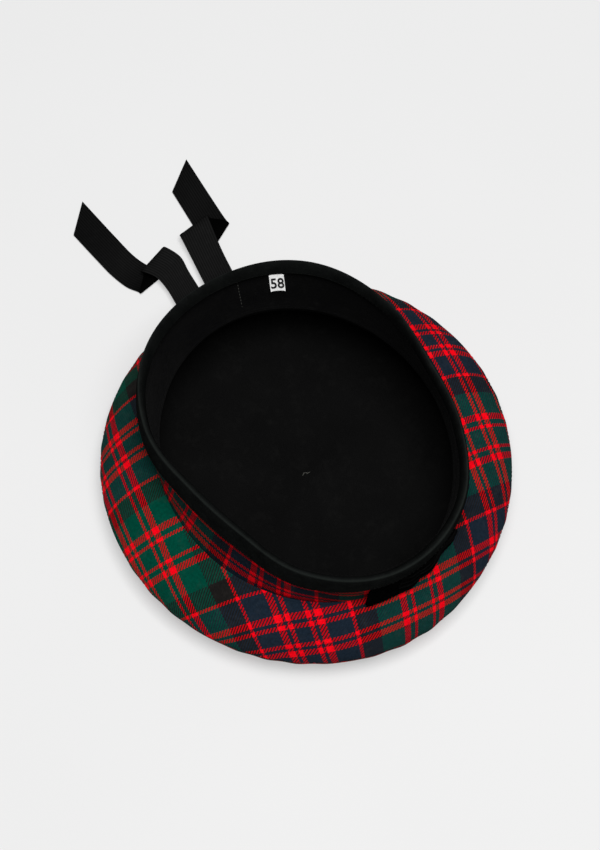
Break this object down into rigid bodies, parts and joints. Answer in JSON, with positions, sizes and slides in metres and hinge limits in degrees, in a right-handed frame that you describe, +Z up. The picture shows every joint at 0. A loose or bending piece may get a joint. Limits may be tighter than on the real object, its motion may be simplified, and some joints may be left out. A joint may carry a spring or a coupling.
{
  "type": "balmoral bonnet",
  "caption": "Round soft tartan bonnet lying on its crown: flat hollow crown, tapered band, black bound rim, lining, side cockade and folded ribbon tails.",
  "frame": {"origin": "middle of the crown's flat top, on the surface that the bonnet lies on", "axes": "+Z up out of the head opening, +Y towards the back where the ribbon tails leave, +X towards the wearer's right"},
  "size_m": [0.2416, 0.3532, 0.082],
  "materials": {
    "tartan": "matte",
    "black_wool": "matte",
    "sweatband": "satin",
    "lining": "matte",
    "grosgrain": "matte",
    "label": "matte"
  },
  "bodies": {
    "root": {"crown_top": "tartan", "crown_underside": "tartan", "headband": "tartan", "rim_binding": "black_wool", "sweatband": "sweatband", "lining": "lining", "size_label": "label", "cockade_tail": "grosgrain", "cockade_loops": "grosgrain", "cockade_knot": "grosgrain", "ribbon_tail_left": "grosgrain", "ribbon_tail_right": "grosgrain"}
  },
  "joints": []
}
